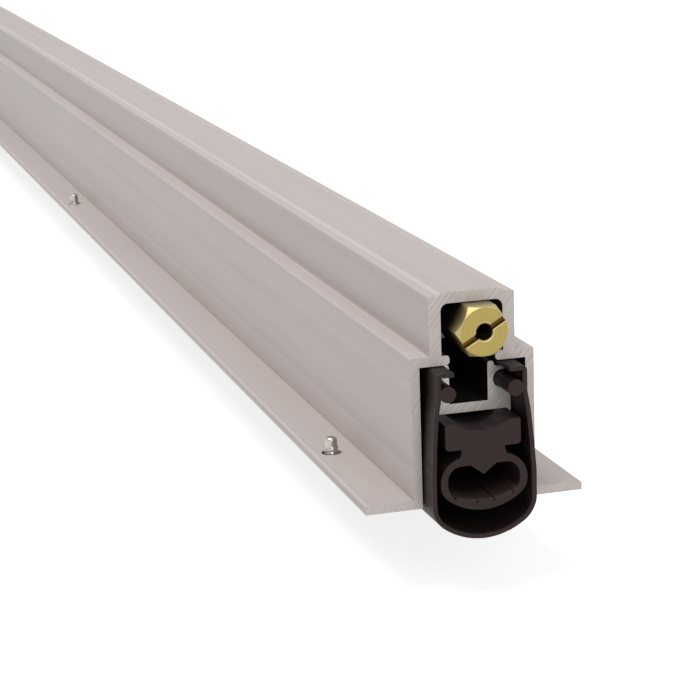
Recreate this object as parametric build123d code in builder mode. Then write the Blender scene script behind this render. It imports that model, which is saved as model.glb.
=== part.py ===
from build123d import *
import math
import os

os.makedirs("parts", exist_ok=True)

# Automatic door bottom seal, in millimetres.
# X runs along the bar with the adjuster at +X, Y across the door and Z up.
# The origin is at mid-length on the flange's top face, which meets the door's bottom edge.

# Largest share of a wall's thickness that the rounding of an edge takes
edge_share = 0.45

# Housing extrusion
bar_length = 1066.8
flange_width = 44.45
flange_thickness = 1.78
flange_edge_radius = 0.5
lower_width = 25.0
lower_wall = 1.75
shoulder_height = 28.2
shoulder_thickness = 1.9
lip_gap = 9.3
lip_edge_radius = 0.7
upper_width = 17.3
upper_wall = 2.4
upper_height = 12.3
roof_thickness = 2.15
crown_flat = 9.9
crown_drop = 0.72
ledge_width = 1.8
crown_edge_radius = 0.25
ceiling_radius = 1.5
outside_edge_radius = 0.25

# Screws that hold the flanges to the door
screw_rows = 4
screw_end_margin = 38.1
screw_edge_margin = 3.9
screw_hole_d = 4.15
screw_neck_d = 3.9
screw_shank_d = 3.5
screw_head_d = 6.6
screw_projection = 3.35
screw_point_length = 1.5
screw_point_d = 2.35
screw_point_radius = 0.6
screw_recess_width = 0.8
screw_recess_span = 3.2
screw_recess_depth = 0.8
screw_recess_turn = 20.0

# Dropper bar
bar_end_setback = 2.7
bar_top_gap = 0.75
channel_width = 7.86
channel_depth = 7.8
channel_wall = 1.35
channel_wall_rib = 2.05
channel_shoulder_drop = 1.15
channel_shoulder_slope = 0.3
floor_thickness = 1.9
groove_lip_half = 7.3
bead_offset = 6.85
bead_drop = 3.7
bead_radius = 1.6
bead_play = 0.2
foot_spread = 0.15
foot_rise = 0.55
toe_drop = 0.75
toe_width = 0.85

# Outer skirt
seal_projection = 5.35
skirt_wall = 0.85
skirt_side_gap = 0.35
skirt_top_gap = 0.25
skirt_height = 33.45
skirt_corner_radius = 5.5
skirt_corner_rise = 7.14
skirt_straight = 5.5
skirt_flare = 0.6
skirt_flare_drop = 4.4
skirt_tab_gap = 11.2
skirt_shoulder_radius = 0.9
bead_bite = 0.2
bead_neck = 1.3

# Bulb seal
block_width = 15.2
block_height = 5.1
block_corner_radius = 0.8
valley_width = 10.4
valley_depth = 1.8
neck_width = 8.6
bulb_depth = 17.45
bulb_width = 17.3
bulb_top_gap = 1.6
bulb_top_flat = 8.4
bulb_side_rise = 5.9
bulb_corner_radius = 3.6
bulb_corner_rise = 5.4
bulb_wall = 1.4
bulb_sole = 1.8
hollow_height = 7.3
hollow_top_flat = 9.0
hollow_side_rise = 4.6
hollow_corner_radius = 3.0
hollow_corner_rise = 3.7
wedge_width = 5.3
wedge_depth = 2.0

# Plunger rod, adjuster nut, guides and stop collar
rod_d = 4.0
rod_offset = 0.6
rod_rise = 5.25
rod_fit = 0.06
rod_clearance = 0.3
thread_d = 3.1
thread_fit = 0.05
thread_spare = 3.0
nut_across_flats = 9.525
nut_length = 14.0
nut_projection = 5.5
nut_face_d = 9.2
nut_chamfer = 1.4
nut_slot_width = 1.2
nut_slot_depth = 1.2
nut_slot_angle = 30.0
rod_end_recess = 6.0
rod_chamfer = 0.25
guide_setback = 20.0
guide_length = 10.0
guide_chamfer = 0.4
collar_d = 9.0
collar_length = 6.0
stop_gap = 0.2
rod_tail = 6.0

# Blocks in the upper chamber
block_side_fit = 0.1
block_head_gap = 0.6
block_arm_side = 6.0
block_screw_side = 9.0
tongue_fit = 0.15
tongue_below_pin = 0.75
slide_gap = 0.3

# Lowering stations
front_station = 165.0
rear_station = 135.0
drop = 12.0
stroke = 5.5
pin_d = 2.0
pin_fit = 0.08
pin_rise = 0.2
eye_d = 3.8
arm_thickness = 1.5
arm_gap = 0.4
arm_clearance = 0.3
pin_head_d = 3.4
pin_head_height = 0.5
pin_head_gap = 0.1
pin_end_gap = 0.1
slider_play = 0.75
bracket_play = 0.4
spring_wire_d = 0.8
spring_turns = 8
spring_rod_gap = 0.35
spring_end_gap = 0.1

# Brackets on the dropper bar
bracket_length = 26.0
bracket_base = 1.2
bracket_cheek = 1.2
bracket_cheek_length = 6.4
bracket_side_gap = 0.2
bracket_corner_radius = 1.0
bracket_inner_half = 2.3
rivet_d = 2.4
rivet_head_d = 3.6
rivet_head_height = 0.8
rivet_spacing = 18.0

# Set screws
set_screw_d = 2.0
set_screw_length = 5.0
set_screw_offset = -3.1
set_screw_inset = 2.8
clamp_screw_inset = 0.5
socket_across_flats = 0.9
socket_depth = 1.0

# Places that follow from the sizes
end_x = bar_length / 2
lip_top = shoulder_height
lip_under = shoulder_height - shoulder_thickness
roof_top = shoulder_height + upper_height
ceiling = roof_top - roof_thickness
chamber_half = upper_width / 2 - upper_wall
channel_half = lower_width / 2 - lower_wall
screw_pitch = (bar_length - 2 * screw_end_margin) / (screw_rows - 1)
screw_offset = flange_width / 2 - screw_edge_margin

channel_tip = lip_under - bar_top_gap
floor_top = channel_tip - channel_depth
floor_under = floor_top - floor_thickness
bead_level = channel_tip - bead_drop
foot_half = bead_offset + bead_radius + foot_spread
skirt_top = lip_under - skirt_top_gap
skirt_bottom = skirt_top - skirt_height
skirt_half = channel_half - skirt_side_gap
skirt_top_half = bead_offset + bead_radius - bead_bite + skirt_wall
bulb_bottom = floor_under - bulb_depth

rod_z = lip_top + rod_rise
nut_front = end_x + nut_projection
nut_back = nut_front - nut_length
guide_face = end_x - guide_setback
collar_face = guide_face - guide_length - stop_gap

# The long arm runs from the slider's pin down to the bracket's pin, and the short arm
# from the anchor's pin to its middle, so the bracket's pin moves straight down.
pin_z = lip_top + pin_rise
drop_pin_z = floor_top + bracket_base + arm_clearance + eye_d / 2
rest_height = pin_z - drop_pin_z
low_height = rest_height + drop
rest_reach = ((low_height**2 - rest_height**2) / stroke + stroke) / 2
arm_length = math.hypot(rest_reach, rest_height)
long_arm_y = -(arm_gap + arm_thickness) / 2
short_arm_y = (arm_gap + arm_thickness) / 2
tongue_under = pin_z - pin_d / 2 - tongue_below_pin
anchors = {"front": end_x - front_station, "rear": rear_station - end_x}
rod_rear = anchors["rear"] - block_screw_side - rod_tail


def arc_touch(half, radius, rise, bottom):
    """Where a corner arc of this radius meets the wide bottom arc, and touches it."""
    inner = half - radius
    wide = (inner**2 + rise**2 - radius**2) / (2 * (rise - radius))
    share = wide / (wide - radius)
    return (inner * share, bottom + wide + (rise - wide) * share)


with BuildPart() as housing:
    with BuildSketch(Plane.YZ.offset(-end_x)) as housing_section:
        with BuildLine():
            Line((0, roof_top), (crown_flat / 2, roof_top))
            crown_end = (upper_width / 2 - ledge_width, roof_top - crown_drop)
            TangentArc((crown_flat / 2, roof_top), crown_end, tangent=(1, 0))
            Polyline(
                crown_end,
                (upper_width / 2, roof_top - crown_drop),
                (upper_width / 2, shoulder_height),
                (lower_width / 2, shoulder_height),
                (lower_width / 2, 0),
                (flange_width / 2, 0),
                (flange_width / 2, -flange_thickness),
                (channel_half, -flange_thickness),
                (channel_half, lip_under),
                (lip_gap / 2, lip_under),
                (lip_gap / 2, lip_top),
                (chamber_half, lip_top),
                (chamber_half, ceiling),
                (0, ceiling),
            )
            mirror(about=Plane.YZ)
        make_face()
        corners = housing_section.vertices()
        fillet(
            corners.filter_by(lambda v: abs(abs(v.X) - lip_gap / 2) < 0.01),
            min(lip_edge_radius, shoulder_thickness * edge_share),
        )
        corners = housing_section.vertices()
        fillet(
            corners.filter_by(lambda v: abs(abs(v.X) - chamber_half) < 0.01 and v.Y > lip_top + 1),
            ceiling_radius,
        )
        corners = housing_section.vertices()
        fillet(
            corners.filter_by(lambda v: abs(abs(v.X) - flange_width / 2) < 0.01 and abs(v.Y) < 0.01),
            min(flange_edge_radius, flange_thickness * edge_share),
        )
        corners = housing_section.vertices()
        fillet(
            corners.filter_by(
                lambda v: abs(abs(v.X) - upper_width / 2) < 0.01 and v.Y > shoulder_height + 1
            ),
            crown_edge_radius,
        )
        corners = housing_section.vertices()
        fillet(
            corners.filter_by(
                lambda v: abs(abs(v.X) - lower_width / 2) < 0.01 and v.Y > shoulder_height - 0.01
            ),
            outside_edge_radius,
        )
    extrude(amount=bar_length)
    with Locations(Plane(origin=(0, 0, -flange_thickness), x_dir=(1, 0, 0), z_dir=(0, 0, -1))):
        with GridLocations(screw_pitch, 2 * screw_offset, screw_rows, 2):
            CounterSinkHole(screw_hole_d / 2, screw_head_d / 2, counter_sink_angle=90)
housing.part.label = "housing"
export_step(housing.part, "parts/housing.step")

# Screws: the flat head sits in the countersink and the blunt point stands above the flange.
head_r = screw_head_d / 2 - pin_fit
neck_r = screw_neck_d / 2
shank_r = screw_shank_d / 2
with BuildPart() as door_screw:
    with BuildSketch(Plane.XZ) as screw_half:
        with BuildLine():
            Polyline(
                (0, -flange_thickness),
                (head_r, -flange_thickness),
                (neck_r, -flange_thickness + head_r - neck_r),
                (shank_r, 0),
                (shank_r, screw_projection - screw_point_length),
                (screw_point_d / 2, screw_projection),
                (0, screw_projection),
                close=True,
            )
        make_face()
        points = screw_half.vertices().filter_by(lambda v: v.Y > screw_projection - 0.01)
        fillet(points.sort_by(Axis.X)[-1], screw_point_radius)
    revolve(axis=Axis.Z)
    with BuildSketch(Plane.XY.offset(-flange_thickness)):
        Rectangle(screw_recess_span, screw_recess_width, rotation=screw_recess_turn)
        Rectangle(screw_recess_width, screw_recess_span, rotation=screw_recess_turn)
    extrude(amount=screw_recess_depth, mode=Mode.SUBTRACT)

for side, sign in (("left", -1), ("right", 1)):
    with BuildPart() as door_screws:
        with Locations((0, sign * screw_offset)):
            with GridLocations(screw_pitch, 0, screw_rows, 1):
                add(door_screw.part)
    door_screws.part.label = f"door_screws_{side}"
    export_step(door_screws.part, f"parts/door_screws_{side}.step")

# Dropper bar: a channel with a bead groove outside each wall and a toe under each edge.
lip_level = channel_tip - channel_shoulder_drop
foot_top = floor_top + foot_rise
with BuildPart() as dropper_bar:
    with BuildSketch(Plane.YZ.offset(-end_x + bar_end_setback)) as bar_section:
        with BuildLine():
            Polyline(
                (0, floor_top),
                (channel_width / 2, floor_top),
                (channel_width / 2, channel_tip),
                (channel_width / 2 + channel_wall, channel_tip),
                (channel_width / 2 + channel_wall, lip_level + channel_shoulder_slope),
                (channel_width / 2 + channel_wall_rib, lip_level),
                (groove_lip_half, lip_level),
                (groove_lip_half, bead_level),
                (foot_half, foot_top),
                (foot_half, floor_under - toe_drop),
                (foot_half - toe_width, floor_under),
                (0, floor_under),
            )
            mirror(about=Plane.YZ)
        make_face()
        with Locations((bead_offset, bead_level), (-bead_offset, bead_level)):
            Circle(bead_radius + bead_play, mode=Mode.SUBTRACT)
        tips = bar_section.vertices().filter_by(lambda v: abs(v.Y - channel_tip) < 0.01)
        fillet(tips, channel_wall * edge_share)
    extrude(amount=bar_length - 2 * bar_end_setback)
    for anchor_x in anchors.values():
        with Locations(Plane.XY.offset(floor_top)):
            with Locations((anchor_x, 0)):
                with GridLocations(rivet_spacing, 0, 2, 1):
                    Hole(rivet_d / 2)
dropper_bar.part.label = "dropper_bar"
export_step(dropper_bar.part, "parts/dropper_bar.step")

# Outer skirt: one thin wall all round, open between the turned-in top edges.
corner_level = skirt_bottom + skirt_corner_rise
touch = arc_touch(skirt_half, skirt_corner_radius, skirt_corner_rise, skirt_bottom)
with BuildPart() as outer_skirt:
    with BuildSketch(Plane.YZ.offset(-end_x - seal_projection)) as skirt_section:
        with BuildLine():
            Polyline(
                (0, skirt_top),
                (skirt_top_half, skirt_top),
                (skirt_top_half, bead_level),
                (skirt_top_half + skirt_flare, bead_level - skirt_flare_drop),
                (skirt_half, corner_level + skirt_straight),
                (skirt_half, corner_level),
            )
            corner = TangentArc((skirt_half, corner_level), touch, tangent=(0, -1))
            TangentArc(touch, (0, skirt_bottom), tangent=corner % 1)
            mirror(about=Plane.YZ)
        make_face()
        top_corners = skirt_section.vertices().filter_by(lambda v: abs(v.Y - skirt_top) < 0.01)
        fillet(top_corners.filter_by(lambda v: abs(v.X) > 1), skirt_shoulder_radius)
        offset(amount=-skirt_wall, kind=Kind.INTERSECTION, mode=Mode.SUBTRACT)
        with Locations((0, skirt_top)):
            Rectangle(skirt_tab_gap, 3 * skirt_wall, mode=Mode.SUBTRACT)
        for sign in (-1, 1):
            with Locations((sign * bead_offset, bead_level)):
                Circle(bead_radius)
            with Locations((sign * (bead_offset + bead_radius / 2), bead_level)):
                Rectangle(bead_radius + skirt_wall / 2, bead_neck)
    extrude(amount=bar_length + 2 * seal_projection)
outer_skirt.part.label = "outer_skirt"
export_step(outer_skirt.part, "parts/outer_skirt.step")

# Bulb seal: a solid block under the bar and a hollow bulb below its neck.
block_under = floor_under - block_height
bulb_top = block_under - bulb_top_gap
bulb_side = bulb_bottom + bulb_corner_rise
bulb_touch = arc_touch(bulb_width / 2, bulb_corner_radius, bulb_corner_rise, bulb_bottom)
hollow_half = bulb_width / 2 - bulb_wall
hollow_bottom = bulb_bottom + bulb_sole
hollow_top = hollow_bottom + hollow_height
hollow_side = hollow_bottom + hollow_corner_rise
hollow_touch = arc_touch(hollow_half, hollow_corner_radius, hollow_corner_rise, hollow_bottom)
with BuildPart() as bulb_seal:
    with BuildSketch(Plane.YZ.offset(-end_x - seal_projection)) as bulb_section:
        with Locations((0, block_under + block_height / 2)):
            block = Rectangle(block_width, block_height)
        fillet(block.vertices().group_by(Axis.Y)[0], block_corner_radius)
        with BuildLine():
            ThreePointArc(
                (-valley_width / 2, floor_under),
                (0, floor_under - valley_depth),
                (valley_width / 2, floor_under),
            )
            Line((valley_width / 2, floor_under), (-valley_width / 2, floor_under))
        make_face(mode=Mode.SUBTRACT)
        with Locations((0, (block_under + hollow_top) / 2)):
            Rectangle(neck_width, block_under - hollow_top + 2 * bulb_wall)
        with BuildLine():
            Line((0, bulb_top), (bulb_top_flat / 2, bulb_top))
            bulb_end = (bulb_width / 2, bulb_bottom + bulb_side_rise)
            TangentArc(bulb_end, (bulb_top_flat / 2, bulb_top), tangent=(0, 1))
            Line(bulb_end, (bulb_width / 2, bulb_side))
            bulb_corner = TangentArc((bulb_width / 2, bulb_side), bulb_touch, tangent=(0, -1))
            TangentArc(bulb_touch, (0, bulb_bottom), tangent=bulb_corner % 1)
            mirror(about=Plane.YZ)
        make_face()
        with BuildLine():
            Polyline(
                (0, hollow_top - wedge_depth),
                (wedge_width / 2, hollow_top),
                (hollow_top_flat / 2, hollow_top),
            )
            hollow_end = (hollow_half, hollow_bottom + hollow_side_rise)
            TangentArc(hollow_end, (hollow_top_flat / 2, hollow_top), tangent=(0, 1))
            Line(hollow_end, (hollow_half, hollow_side))
            low_corner = TangentArc((hollow_half, hollow_side), hollow_touch, tangent=(0, -1))
            TangentArc(hollow_touch, (0, hollow_bottom), tangent=low_corner % 1)
            mirror(about=Plane.YZ)
        make_face(mode=Mode.SUBTRACT)
    extrude(amount=bar_length + 2 * seal_projection)
bulb_seal.part.label = "bulb_seal"
export_step(bulb_seal.part, "parts/bulb_seal.step")

# Adjuster nut: a long hexagon with turned ends, a tapped hole and a screwdriver slot.
with BuildPart() as adjuster_nut:
    with BuildSketch(Plane.YZ.offset(nut_back)):
        with Locations((rod_offset, rod_z)):
            RegularPolygon(nut_across_flats / 2, 6, major_radius=False)
    extrude(amount=nut_length)
    nut_corner_r = nut_across_flats / math.sqrt(3)
    with BuildSketch(Plane.XZ.offset(-rod_offset)):
        with BuildLine():
            Polyline(
                (nut_back, rod_z),
                (nut_back, rod_z + nut_face_d / 2),
                (nut_back + nut_chamfer, rod_z + nut_corner_r),
                (nut_front - nut_chamfer, rod_z + nut_corner_r),
                (nut_front, rod_z + nut_face_d / 2),
                (nut_front, rod_z),
                close=True,
            )
        make_face()
    revolve(axis=Axis((nut_back, rod_offset, rod_z), (1, 0, 0)), mode=Mode.INTERSECT)
    with Locations(Plane(origin=(nut_front, rod_offset, rod_z), z_dir=(1, 0, 0))):
        Hole(thread_d / 2 + thread_fit, depth=nut_length)
    with BuildSketch(Plane.YZ.offset(nut_front)):
        with Locations((rod_offset, rod_z)):
            Rectangle(2 * nut_corner_r, nut_slot_width, rotation=nut_slot_angle)
    extrude(amount=-nut_slot_depth, mode=Mode.SUBTRACT)
adjuster_nut.part.label = "adjuster_nut"
export_step(adjuster_nut.part, "parts/adjuster_nut.step")

# Plunger rod: the thinner threaded end carries the nut.
shoulder_x = nut_back - thread_spare
with BuildPart() as plunger_rod:
    with BuildSketch(Plane.YZ.offset(rod_rear)):
        with Locations((rod_offset, rod_z)):
            Circle(rod_d / 2)
    extrude(amount=shoulder_x - rod_rear)
    with BuildSketch(Plane.YZ.offset(shoulder_x)):
        with Locations((rod_offset, rod_z)):
            Circle(thread_d / 2)
    extrude(amount=nut_front - rod_end_recess - shoulder_x)
    chamfer(plunger_rod.edges().group_by(Axis.X)[-1], rod_chamfer)
    chamfer(plunger_rod.edges().group_by(Axis.X)[0], rod_chamfer)
plunger_rod.part.label = "plunger_rod"
export_step(plunger_rod.part, "parts/plunger_rod.step")

with BuildPart() as stop_collar:
    with BuildSketch(Plane.YZ.offset(collar_face - collar_length)):
        with Locations((rod_offset, rod_z)):
            Circle(collar_d / 2)
            Circle(rod_d / 2, mode=Mode.SUBTRACT)
    extrude(amount=collar_length)
    with Locations(Plane.XY.offset(rod_z - collar_d / 2)):
        with Locations((collar_face - collar_length / 2, rod_offset)):
            Cylinder(
                set_screw_d / 2,
                collar_d / 2,
                align=(Align.CENTER, Align.CENTER, Align.MIN),
                mode=Mode.SUBTRACT,
            )
stop_collar.part.label = "stop_collar"
export_step(stop_collar.part, "parts/stop_collar.step")

# Blocks fixed in the chamber: each rests on the lips, with its tongue between them, and is
# held by a set screw that stands against the ceiling.
block_top = ceiling - block_head_gap
block_half = chamber_half - block_side_fit
tongue_half = lip_gap / 2 - tongue_fit
groove_top = pin_z + eye_d / 2 + arm_clearance
groove_width = arm_thickness + 2 * arm_clearance
groove_back = eye_d / 2 + arm_clearance
block_screws = []
for name, guide_x in (("front_guide", guide_face - guide_length / 2), ("middle_guide", 0)):
    block_screws.append(guide_x)
    with BuildPart() as guide:
        with BuildSketch(Plane.YZ.offset(guide_x - guide_length / 2)):
            with Locations((0, (lip_top + block_top) / 2)):
                body = Rectangle(2 * block_half, block_top - lip_top)
            fillet(body.vertices().group_by(Axis.Y)[-1], ceiling_radius)
            with Locations((0, (tongue_under + lip_top) / 2)):
                Rectangle(2 * tongue_half, lip_top - tongue_under)
            with Locations((rod_offset, rod_z)):
                Circle(rod_d / 2 + rod_fit, mode=Mode.SUBTRACT)
        extrude(amount=guide_length)
        with Locations((guide_x, set_screw_offset, block_top)):
            Hole(set_screw_d / 2)
        mouths = guide.edges().filter_by(GeomType.CIRCLE)
        mouths = mouths.filter_by(lambda e: abs(e.radius - rod_d / 2 - rod_fit) < 0.001)
        chamfer(mouths, guide_chamfer)
    guide.part.label = name
    export_step(guide.part, f"parts/{name}.step")

for station, anchor_x in anchors.items():
    slider_x = anchor_x + rest_reach
    screw_x = anchor_x - block_screw_side + set_screw_inset
    block_screws.append(screw_x)

    with BuildPart() as anchor_block:
        with BuildSketch(Plane.YZ.offset(anchor_x - block_screw_side)):
            with Locations((0, (lip_top + block_top) / 2)):
                body = Rectangle(2 * block_half, block_top - lip_top)
            fillet(body.vertices().group_by(Axis.Y)[-1], ceiling_radius)
            with Locations((0, (tongue_under + lip_top) / 2)):
                Rectangle(2 * tongue_half, lip_top - tongue_under)
            with Locations((rod_offset, rod_z)):
                Circle(rod_d / 2 + rod_clearance, mode=Mode.SUBTRACT)
        extrude(amount=block_screw_side + block_arm_side)
        with BuildSketch(Plane.XY.offset(tongue_under)):
            with Locations((anchor_x + (block_arm_side - groove_back) / 2, short_arm_y)):
                Rectangle(block_arm_side + groove_back, groove_width)
        extrude(amount=groove_top - tongue_under, mode=Mode.SUBTRACT)
        with BuildSketch(Plane.XZ):
            with Locations((anchor_x, pin_z)):
                Circle(pin_d / 2)
        extrude(amount=chamber_half, both=True, mode=Mode.SUBTRACT)
        with Locations((screw_x, set_screw_offset, block_top)):
            Hole(set_screw_d / 2)
    anchor_block.part.label = f"anchor_block_{station}"
    export_step(anchor_block.part, f"parts/anchor_block_{station}.step")

    with BuildPart() as anchor_pin:
        with BuildSketch(Plane.XZ):
            with Locations((anchor_x, pin_z)):
                Circle(pin_d / 2)
        extrude(amount=tongue_half - pin_end_gap, both=True)
    anchor_pin.part.label = f"anchor_pin_{station}"
    export_step(anchor_pin.part, f"parts/anchor_pin_{station}.step")

    # The slider is clamped on the rod and runs clear of the chamber's walls. Its slot takes
    # up the small play of a pin that is driven at a constant ratio.
    slider_top = ceiling - slide_gap
    slider_under = lip_top + slide_gap
    slider_tongue_half = lip_gap / 2 - slide_gap
    clamp_x = slider_x + block_screw_side - set_screw_inset
    with BuildPart() as slider_block:
        with BuildSketch(Plane.YZ.offset(slider_x - block_arm_side)):
            with Locations((0, (slider_under + slider_top) / 2)):
                body = Rectangle(2 * (chamber_half - slide_gap), slider_top - slider_under)
            fillet(body.vertices().group_by(Axis.Y)[-1], ceiling_radius)
            with Locations((0, (tongue_under + slider_under) / 2)):
                Rectangle(2 * slider_tongue_half, slider_under - tongue_under)
            with Locations((rod_offset, rod_z)):
                Circle(rod_d / 2, mode=Mode.SUBTRACT)
        extrude(amount=block_arm_side + block_screw_side)
        with BuildSketch(Plane.XY.offset(tongue_under)):
            reach = groove_back + slider_play
            with Locations((slider_x + (reach - block_arm_side) / 2, long_arm_y)):
                Rectangle(block_arm_side + reach, groove_width)
        extrude(amount=groove_top - tongue_under, mode=Mode.SUBTRACT)
        with BuildSketch(Plane.XZ):
            with Locations((slider_x + slider_play / 2, pin_z)):
                SlotCenterToCenter(slider_play, pin_d + 2 * pin_fit)
        extrude(amount=chamber_half, both=True, mode=Mode.SUBTRACT)
        with BuildSketch(Plane.XY.offset(tongue_under)):
            with Locations((clamp_x, rod_offset)):
                Circle(set_screw_d / 2)
        extrude(amount=rod_z - tongue_under, mode=Mode.SUBTRACT)
    slider_block.part.label = f"slider_block_{station}"
    export_step(slider_block.part, f"parts/slider_block_{station}.step")

    # Arms and their pins
    toward_bracket = (-rest_reach, 0, -rest_height)
    toward_slider = (rest_reach, 0, -rest_height)
    long_face = Plane(
        origin=(slider_x, long_arm_y + arm_thickness / 2, pin_z),
        x_dir=toward_bracket,
        z_dir=(0, -1, 0),
    )
    with BuildPart() as long_arm:
        with BuildSketch(long_face):
            with Locations((arm_length / 2, 0)):
                SlotCenterToCenter(arm_length, eye_d)
                Circle(pin_d / 2 + pin_fit, mode=Mode.SUBTRACT)
            with Locations((0, 0), (arm_length, 0)):
                Circle(pin_d / 2, mode=Mode.SUBTRACT)
        extrude(amount=arm_thickness)
    long_arm.part.label = f"long_arm_{station}"
    export_step(long_arm.part, f"parts/long_arm_{station}.step")

    short_face = Plane(
        origin=(anchor_x, short_arm_y + arm_thickness / 2, pin_z),
        x_dir=toward_slider,
        z_dir=(0, -1, 0),
    )
    with BuildPart() as short_arm:
        with BuildSketch(short_face):
            with Locations((arm_length / 4, 0)):
                SlotCenterToCenter(arm_length / 2, eye_d)
            with Locations((0, 0)):
                Circle(pin_d / 2 + pin_fit, mode=Mode.SUBTRACT)
            with Locations((arm_length / 2, 0)):
                Circle(pin_d / 2, mode=Mode.SUBTRACT)
        extrude(amount=arm_thickness)
    short_arm.part.label = f"short_arm_{station}"
    export_step(short_arm.part, f"parts/short_arm_{station}.step")

    with BuildPart() as slider_pin:
        with BuildSketch(Plane.XZ):
            with Locations((slider_x, pin_z)):
                Circle(pin_d / 2)
        extrude(amount=slider_tongue_half - pin_end_gap, both=True)
    slider_pin.part.label = f"slider_pin_{station}"
    export_step(slider_pin.part, f"parts/slider_pin_{station}.step")

    middle_x = anchor_x + rest_reach / 2
    middle_z = pin_z - rest_height / 2
    arms_half = arm_gap / 2 + arm_thickness
    with BuildPart() as centre_pin:
        with BuildSketch(Plane.XZ.offset(-arms_half)):
            with Locations((middle_x, middle_z)):
                Circle(pin_d / 2)
        extrude(amount=2 * arms_half + pin_head_gap)
        with BuildSketch(Plane.XZ.offset(-arms_half - pin_head_height)):
            with Locations((middle_x, middle_z)):
                Circle(pin_head_d / 2)
        extrude(amount=pin_head_height)
        with BuildSketch(Plane.XZ.offset(arms_half + pin_head_gap)):
            with Locations((middle_x, middle_z)):
                Circle(pin_head_d / 2)
        extrude(amount=pin_head_height)
    centre_pin.part.label = f"centre_pin_{station}"
    export_step(centre_pin.part, f"parts/centre_pin_{station}.step")

    with BuildPart() as bracket_pin:
        with BuildSketch(Plane.XZ):
            with Locations((anchor_x, drop_pin_z)):
                Circle(pin_d / 2)
        extrude(amount=bracket_inner_half + bracket_cheek, both=True)
    bracket_pin.part.label = f"bracket_pin_{station}"
    export_step(bracket_pin.part, f"parts/bracket_pin_{station}.step")

    # Bracket on the floor of the dropper bar, its cheeks slotted for the long arm's pin
    base_top = floor_top + bracket_base
    with BuildPart() as drop_bracket:
        with BuildSketch(Plane.XY.offset(floor_top)):
            with Locations((anchor_x, 0)):
                base_width = channel_width - 2 * bracket_side_gap
                RectangleRounded(bracket_length, base_width, bracket_corner_radius)
                with GridLocations(rivet_spacing, 0, 2, 1):
                    Circle(rivet_d / 2, mode=Mode.SUBTRACT)
        extrude(amount=bracket_base)
        for cheek_face in (-bracket_inner_half, bracket_inner_half + bracket_cheek):
            with BuildSketch(Plane.XZ.offset(-cheek_face)):
                with Locations((anchor_x, (base_top + drop_pin_z) / 2)):
                    Rectangle(bracket_cheek_length, drop_pin_z - base_top)
                with Locations((anchor_x, drop_pin_z)):
                    Circle(bracket_cheek_length / 2)
                with Locations((anchor_x, drop_pin_z - bracket_play / 2)):
                    SlotCenterToCenter(
                        bracket_play, pin_d + 2 * pin_fit, rotation=90, mode=Mode.SUBTRACT
                    )
            extrude(amount=bracket_cheek)
    drop_bracket.part.label = f"drop_bracket_{station}"
    export_step(drop_bracket.part, f"parts/drop_bracket_{station}.step")

    with BuildPart() as bracket_rivets:
        with BuildSketch(Plane.XY.offset(floor_under)):
            with Locations((anchor_x, 0)):
                with GridLocations(rivet_spacing, 0, 2, 1):
                    Circle(rivet_d / 2)
        extrude(amount=base_top - floor_under)
        for head_z in (base_top, floor_under - rivet_head_height):
            with BuildSketch(Plane.XY.offset(head_z)):
                with Locations((anchor_x, 0)):
                    with GridLocations(rivet_spacing, 0, 2, 1):
                        Circle(rivet_head_d / 2)
            extrude(amount=rivet_head_height)
        rims = bracket_rivets.edges().group_by(Axis.Z)
        fillet(rims[-1] + rims[0], rivet_head_height / 2)
    bracket_rivets.part.label = f"bracket_rivets_{station}"
    export_step(bracket_rivets.part, f"parts/bracket_rivets_{station}.step")

    # Return spring on the rod, between the anchor block and the slider
    coil_r = rod_d / 2 + spring_rod_gap + spring_wire_d / 2
    spring_start = anchor_x + block_arm_side + spring_wire_d / 2
    spring_stop = slider_x - block_arm_side - spring_wire_d / 2 - spring_end_gap
    spring_pitch = (spring_stop - spring_start) / spring_turns
    with BuildPart() as return_spring:
        with BuildLine():
            coil = Helix(
                spring_pitch,
                spring_stop - spring_start,
                coil_r,
                center=(spring_start, rod_offset, rod_z),
                direction=(1, 0, 0),
            )
        with BuildSketch(Plane(origin=coil @ 0, z_dir=coil % 0)):
            Circle(spring_wire_d / 2)
        sweep(is_frenet=True)
    return_spring.part.label = f"return_spring_{station}"
    export_step(return_spring.part, f"parts/return_spring_{station}.step")

    with BuildPart() as slider_set_screw:
        with BuildSketch(Plane.XY.offset(tongue_under + clamp_screw_inset)):
            with Locations((clamp_x, rod_offset)):
                Circle(set_screw_d / 2)
                RegularPolygon(
                    socket_across_flats / 2, 6, major_radius=False, mode=Mode.SUBTRACT
                )
        extrude(amount=socket_depth)
        with BuildSketch(Plane.XY.offset(tongue_under + clamp_screw_inset + socket_depth)):
            with Locations((clamp_x, rod_offset)):
                Circle(set_screw_d / 2)
        extrude(amount=rod_z - rod_d / 2 - tongue_under - clamp_screw_inset - socket_depth)
    slider_set_screw.part.label = f"slider_set_screw_{station}"
    export_step(slider_set_screw.part, f"parts/slider_set_screw_{station}.step")

with BuildPart() as collar_set_screw:
    with BuildSketch(Plane.XY.offset(rod_z - collar_d / 2 + clamp_screw_inset)):
        with Locations((collar_face - collar_length / 2, rod_offset)):
            Circle(set_screw_d / 2)
            RegularPolygon(socket_across_flats / 2, 6, major_radius=False, mode=Mode.SUBTRACT)
    extrude(amount=socket_depth)
    with BuildSketch(Plane.XY.offset(rod_z - collar_d / 2 + clamp_screw_inset + socket_depth)):
        with Locations((collar_face - collar_length / 2, rod_offset)):
            Circle(set_screw_d / 2)
    extrude(amount=collar_d / 2 - rod_d / 2 - clamp_screw_inset - socket_depth)
collar_set_screw.part.label = "collar_set_screw"
export_step(collar_set_screw.part, "parts/collar_set_screw.step")

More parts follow.
